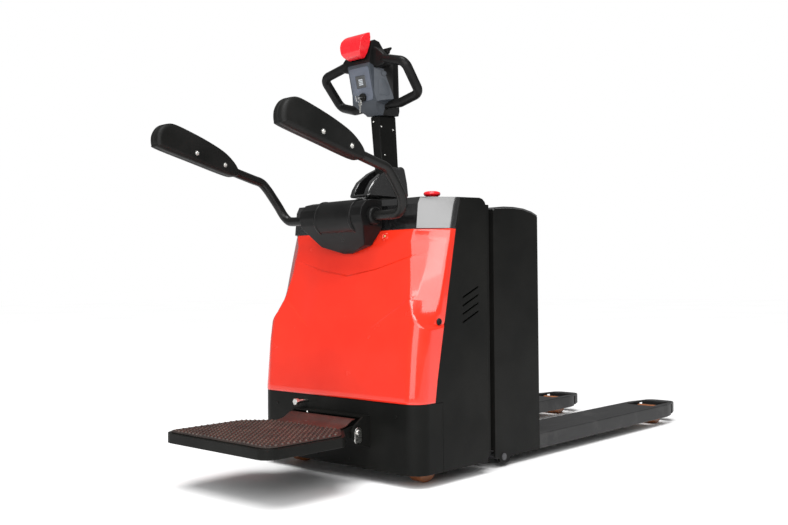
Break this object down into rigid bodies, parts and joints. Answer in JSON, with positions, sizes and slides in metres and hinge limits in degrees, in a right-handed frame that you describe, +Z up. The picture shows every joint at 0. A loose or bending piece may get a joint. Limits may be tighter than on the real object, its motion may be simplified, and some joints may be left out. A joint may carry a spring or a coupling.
{
  "type": "electric pallet truck",
  "caption": "Electric rider pallet truck with red front cover, fold-down platform, padded folding side arms, spring-return tiller head and lifting forks on load rollers.",
  "frame": {"origin": "on the floor under the middle of the truck's bounding box", "axes": "+X from the operator's platform to the fork tips, +Y to the left when facing the forks, +Z up"},
  "size_m": [2.333, 0.734, 1.477],
  "materials": {
    "cover_red": "glossy moulded cover",
    "chassis_black": "satin black powder coat",
    "plastic_black": "satin black moulding",
    "head_grey": "fine-textured blue-grey moulding",
    "signal_red": "glossy signal red",
    "fork_grey": "dark grey paint, worn on the top",
    "bright_steel": "zinc-plated",
    "cast": "painted casting",
    "alu": "finned heat sink",
    "polyurethane": "orange-brown wheel tread",
    "tread_rubber": "ribbed brown-black mat",
    "tyre": "black drive tyre",
    "arm_pad": "self-skinned foam",
    "display": "dark display window",
    "battery_case": "battery case"
  },
  "bodies": {
    "chassis": {"front_skirt": "chassis_black", "left_side_plate": "chassis_black", "right_side_plate": "chassis_black", "base_plate": "chassis_black", "bulkhead": "chassis_black", "steering_bearing": "bright_steel", "front_cover": "cover_red", "top_cover": "plastic_black", "arm_housing": "plastic_black", "platform_bracket": "chassis_black", "platform_hinge_pin": "bright_steel", "platform_stop_bolt": "bright_steel", "e_stop_base": "plastic_black", "hydraulic_unit": "cast", "motor_controller": "alu", "lift_cylinder": "chassis_black"},
    "steer": {"drive_gearbox": "cast", "drive_motor": "cast", "steering_spindle": "chassis_black", "tiller_hood": "plastic_black", "tiller_pivot_pin": "bright_steel"},
    "drive_wheel": {"drive_wheel_hub": "cast", "drive_wheel_tyre": "tyre"},
    "tiller": {"tiller_column": "chassis_black", "tiller_head": "head_grey", "left_handle_loop": "plastic_black", "right_handle_loop": "plastic_black", "display": "display", "key_switch": "plastic_black"},
    "key": {"key": "bright_steel"},
    "belly_button": {"belly_button": "signal_red"},
    "throttle": {"left_throttle_paddle": "plastic_black", "right_throttle_paddle": "plastic_black"},
    "lift_button": {"lift_button": "head_grey"},
    "lower_button": {"lower_button": "head_grey"},
    "horn_button": {"horn_button": "plastic_black"},
    "e_stop_button": {"e_stop_button": "signal_red"},
    "platform": {"platform_deck": "chassis_black", "platform_mat": "tread_rubber"},
    "left_arm": {"left_arm_tube": "chassis_black", "left_arm_pad": "arm_pad"},
    "right_arm": {"right_arm_tube": "chassis_black", "right_arm_pad": "arm_pad"},
    "left_castor": {"left_castor_fork": "cast"},
    "right_castor": {"right_castor_fork": "cast"},
    "left_castor_wheel": {"left_castor_wheel": "polyurethane"},
    "right_castor_wheel": {"right_castor_wheel": "polyurethane"},
    "lift": {"battery_box": "chassis_black", "battery": "battery_case", "left_fork": "fork_grey", "right_fork": "fork_grey", "lift_rod": "bright_steel"},
    "battery_lid": {"battery_lid": "plastic_black"},
    "rocker": {"rocker_shaft": "bright_steel"},
    "left_pull_rod": {"left_pull_rod": "bright_steel"},
    "right_pull_rod": {"right_pull_rod": "bright_steel"},
    "left_bogie": {"left_roller_frame": "bright_steel"},
    "right_bogie": {"right_roller_frame": "bright_steel"},
    "left_roller": {"left_load_roller": "polyurethane"},
    "right_roller": {"right_load_roller": "polyurethane"}
  },
  "joints": [
    {"name": "lift_slide", "type": "slide", "parent": "chassis", "child": "lift", "axis": [0, 0, 1], "range_m": [0, 0.115]},
    {"name": "steering", "type": "hinge", "parent": "chassis", "child": "steer", "pos_m": [-0.4385, 0, 0.25], "axis": [0, 0, 1], "range_deg": [-90, 90]},
    {"name": "drive_wheel_spin", "type": "hinge", "parent": "steer", "child": "drive_wheel", "pos_m": [-0.4385, 0, 0.115], "axis": [0, 1, 0], "continuous": true},
    {"name": "tiller_tilt", "type": "hinge", "parent": "steer", "child": "tiller", "pos_m": [-0.405, 0, 0.945], "axis": [0, 1, 0], "range_deg": [-60, 0], "stiffness_Nm_per_rad": 20, "springref_deg": 34.38},
    {"name": "key_turn", "type": "hinge", "parent": "tiller", "child": "key", "pos_m": [-0.5342, 0, 1.2628], "axis": [-0.969, 0, -0.2469], "range_deg": [0, 90]},
    {"name": "belly_button_press", "type": "slide", "parent": "tiller", "child": "belly_button", "axis": [0.97, 0, -0.243], "range_m": [0, 0.004], "stiffness_N_per_m": 900, "springref_m": -0.004},
    {"name": "throttle_turn", "type": "hinge", "parent": "tiller", "child": "throttle", "pos_m": [-0.4885, 0, 1.418], "axis": [0, 1, 0], "range_deg": [-25, 25], "stiffness_Nm_per_rad": 1},
    {"name": "lift_button_press", "type": "slide", "parent": "tiller", "child": "lift_button", "axis": [0.6023, 0.7983, 0], "range_m": [0, 0.002], "stiffness_N_per_m": 400, "springref_m": -0.002},
    {"name": "lower_button_press", "type": "slide", "parent": "tiller", "child": "lower_button", "axis": [0.6023, -0.7983, 0], "range_m": [0, 0.002], "stiffness_N_per_m": 400, "springref_m": -0.002},
    {"name": "horn_button_press", "type": "slide", "parent": "tiller", "child": "horn_button", "axis": [-0.9561, 0, -0.2931], "range_m": [0, 0.002], "stiffness_N_per_m": 400, "springref_m": -0.002},
    {"name": "e_stop_press", "type": "slide", "parent": "chassis", "child": "e_stop_button", "axis": [0, 0, -1], "range_m": [0, 0.004], "stiffness_N_per_m": 600, "springref_m": -0.003},
    {"name": "platform_fold", "type": "hinge", "parent": "chassis", "child": "platform", "pos_m": [-0.7335, 0, 0.165], "axis": [0, 1, 0], "range_deg": [0, 67]},
    {"name": "left_arm_fold", "type": "hinge", "parent": "chassis", "child": "left_arm", "pos_m": [-0.6385, 0.15, 0.845], "axis": [0, 1, 0], "range_deg": [-98, 0]},
    {"name": "right_arm_fold", "type": "hinge", "parent": "chassis", "child": "right_arm", "pos_m": [-0.6385, -0.15, 0.845], "axis": [0, 1, 0], "range_deg": [-98, 0]},
    {"name": "left_castor_swivel", "type": "hinge", "parent": "chassis", "child": "left_castor", "pos_m": [-0.5385, 0.279, 0.2], "axis": [0, 0, 1], "continuous": true},
    {"name": "right_castor_swivel", "type": "hinge", "parent": "chassis", "child": "right_castor", "pos_m": [-0.5385, -0.279, 0.2], "axis": [0, 0, 1], "continuous": true},
    {"name": "left_castor_spin", "type": "hinge", "parent": "left_castor", "child": "left_castor_wheel", "pos_m": [-0.5585, 0.279, 0.055], "axis": [0, 1, 0], "continuous": true},
    {"name": "right_castor_spin", "type": "hinge", "parent": "right_castor", "child": "right_castor_wheel", "pos_m": [-0.5585, -0.279, 0.055], "axis": [0, 1, 0], "continuous": true},
    {"name": "battery_lid_hinge", "type": "hinge", "parent": "lift", "child": "battery_lid", "pos_m": [-0.2517, 0, 0.8735], "axis": [0, -1, 0], "range_deg": [0, 75]},
    {"name": "rocker_turn", "type": "hinge", "parent": "lift", "child": "rocker", "pos_m": [-0.2035, 0, 0.035], "axis": [0, 1, 0], "range_deg": [-38, 0]},
    {"name": "left_pull_rod_slide", "type": "slide", "parent": "lift", "child": "left_pull_rod", "axis": [1, 0, 0], "range_m": [-0.016, 0]},
    {"name": "right_pull_rod_slide", "type": "slide", "parent": "lift", "child": "right_pull_rod", "axis": [1, 0, 0], "range_m": [-0.016, 0]},
    {"name": "left_bogie_turn", "type": "hinge", "parent": "lift", "child": "left_bogie", "pos_m": [0.8215, 0.248, 0.062], "axis": [0, 1, 0], "range_deg": [0, 38]},
    {"name": "right_bogie_turn", "type": "hinge", "parent": "lift", "child": "right_bogie", "pos_m": [0.8215, -0.248, 0.062], "axis": [0, 1, 0], "range_deg": [0, 38]},
    {"name": "left_roller_spin", "type": "hinge", "parent": "left_bogie", "child": "left_roller", "pos_m": [1.0215, 0.248, 0.04], "axis": [0, 1, 0], "continuous": true},
    {"name": "right_roller_spin", "type": "hinge", "parent": "right_bogie", "child": "right_roller", "pos_m": [1.0215, -0.248, 0.04], "axis": [0, 1, 0], "continuous": true}
  ],
  "couplings": [
    {"joint": "rocker_turn", "follows": "lift_slide", "rad_per_m": -5.55},
    {"joint": "left_pull_rod_slide", "follows": "lift_slide", "ratio": -0.13},
    {"joint": "right_pull_rod_slide", "follows": "lift_slide", "ratio": -0.13},
    {"joint": "left_bogie_turn", "follows": "lift_slide", "rad_per_m": 5.55},
    {"joint": "right_bogie_turn", "follows": "lift_slide", "rad_per_m": 5.55}
  ]
}
